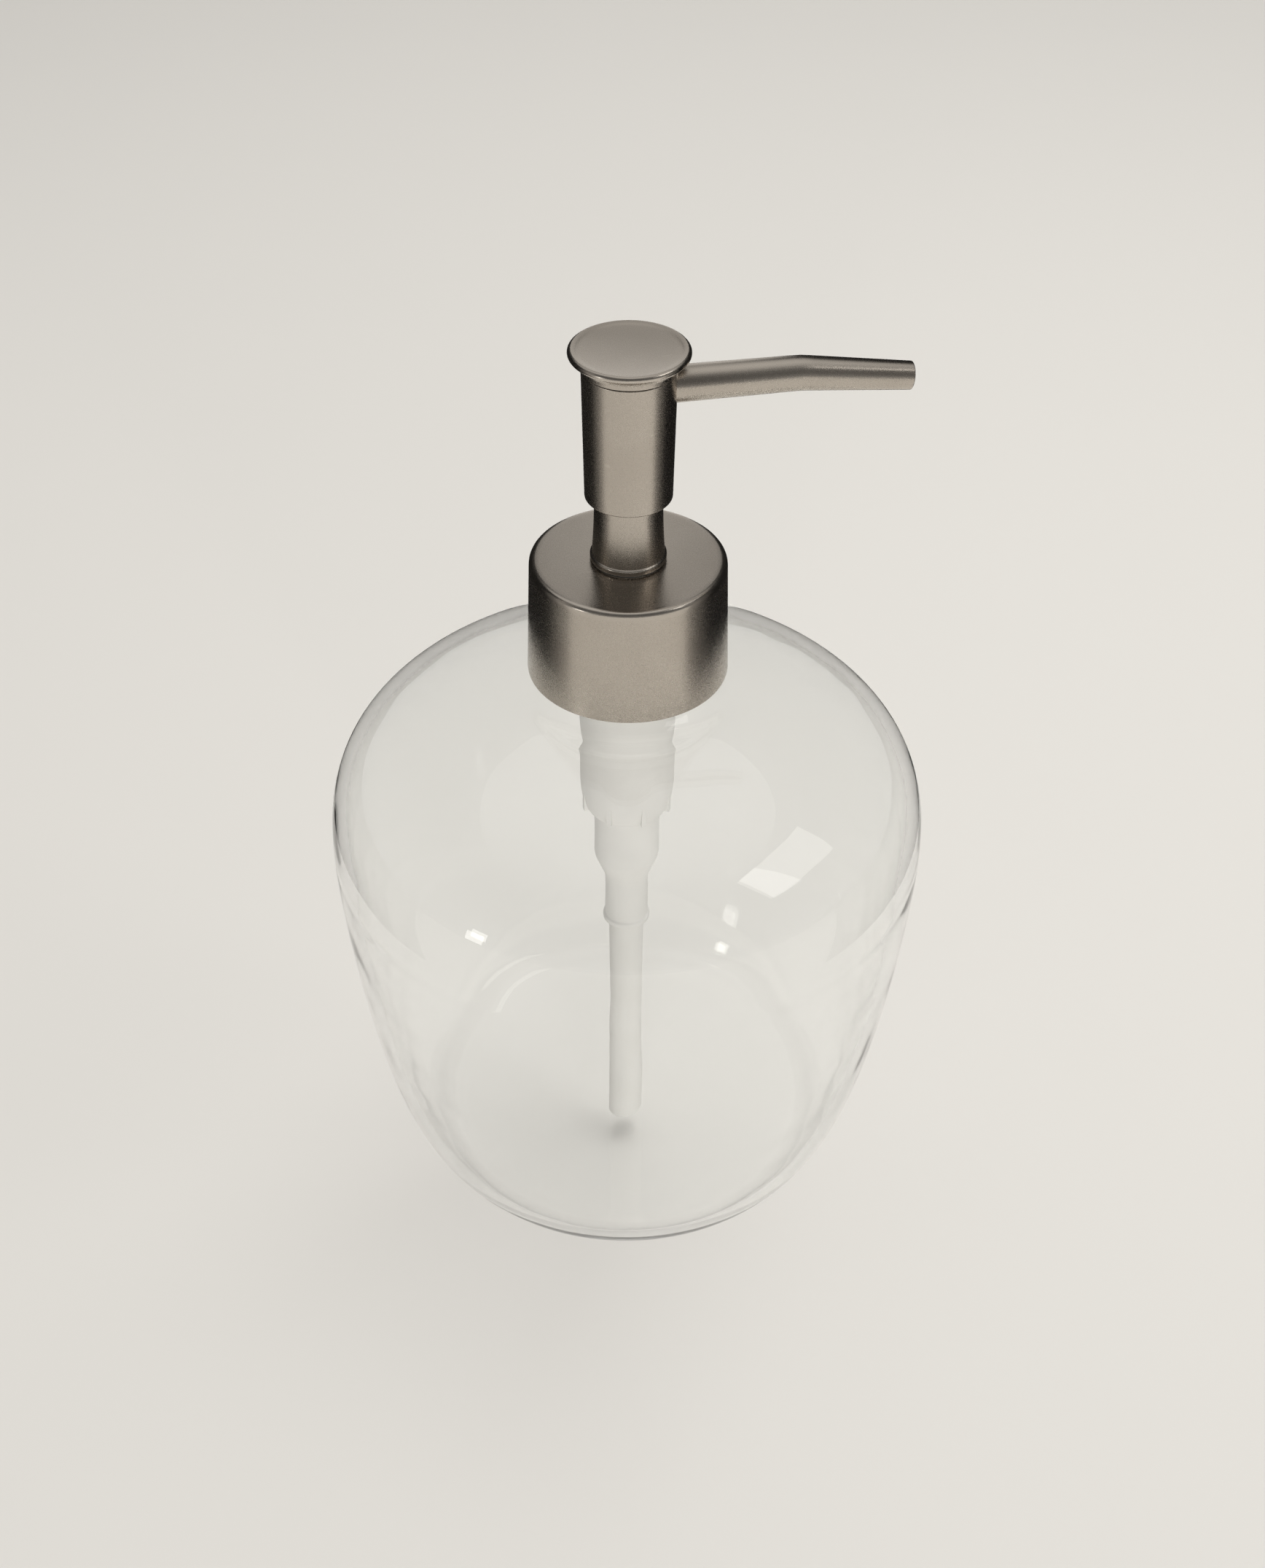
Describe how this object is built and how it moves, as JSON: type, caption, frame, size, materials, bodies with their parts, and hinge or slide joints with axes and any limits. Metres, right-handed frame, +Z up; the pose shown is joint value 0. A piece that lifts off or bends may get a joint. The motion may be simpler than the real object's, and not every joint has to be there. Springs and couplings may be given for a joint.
{
  "type": "soap pump dispenser",
  "caption": "Clear glass soap bottle with a satin metal screw collar, press-down lotion pump, bent spout, spring, valves and dip tube.",
  "frame": {"origin": "centre of the bottle's base, on the surface it stands on", "axes": "+Z up along the bottle's axis, +X along the spout, as it points at rest"},
  "size_m": [0.1018, 0.1018, 0.1627],
  "materials": {
    "clear_glass": "clear, polished, blown",
    "satin_nickel": "satin, fine grain, warm grey",
    "white_plastic": "moulded",
    "natural_plastic": "translucent moulded polypropylene",
    "tube_plastic": "extruded, translucent, slightly yellow",
    "soft_seal": "soft, matte",
    "spring_steel": "drawn wire and polished ball"
  },
  "bodies": {
    "bottle": {"glass_bottle": "clear_glass"},
    "pump_body": {"neck_gasket": "soft_seal", "housing": "natural_plastic", "dip_tube": "tube_plastic", "chaplet": "white_plastic", "neck_sleeve": "satin_nickel", "stem_seal": "soft_seal", "ball_retainer": "white_plastic", "return_spring": "spring_steel"},
    "closure": {"collar_shell": "satin_nickel", "closure_insert": "white_plastic"},
    "check_ball": {"inlet_ball": "spring_steel"},
    "rod": {"valve_rod": "white_plastic"},
    "piston_ring": {"piston": "soft_seal"},
    "head": {"stem": "white_plastic", "actuator_core": "white_plastic", "head_barrel": "satin_nickel", "head_cap": "satin_nickel", "spout": "satin_nickel", "spout_liner": "natural_plastic"}
  },
  "joints": [
    {"name": "pump_lift", "type": "slide", "parent": "bottle", "child": "pump_body", "axis": [0, 0, 1], "range_m": [0, 0.0053]},
    {"name": "closure_turn", "type": "hinge", "parent": "pump_body", "child": "closure", "pos_m": [0, 0, 0.1258], "axis": [0, 0, 1], "range_deg": [0, 450]},
    {"name": "head_press", "type": "slide", "parent": "pump_body", "child": "rod", "axis": [0, 0, -1], "range_m": [0, 0.01], "stiffness_N_per_m": 250, "springref_m": -0.012, "deforming": ["return_spring"]},
    {"name": "head_swivel", "type": "hinge", "parent": "rod", "child": "head", "pos_m": [0, 0, 0.1375], "axis": [0, 0, 1], "continuous": true},
    {"name": "piston_slip", "type": "slide", "parent": "rod", "child": "piston_ring", "axis": [0, 0, 1], "range_m": [0, 0.0008]},
    {"name": "ball_lift", "type": "slide", "parent": "pump_body", "child": "check_ball", "axis": [0, 0, 1], "range_m": [0, 0.0012]}
  ],
  "couplings": [
    {"joint": "pump_lift", "follows": "closure_turn", "m_per_rad": 0.00067322}
  ]
}
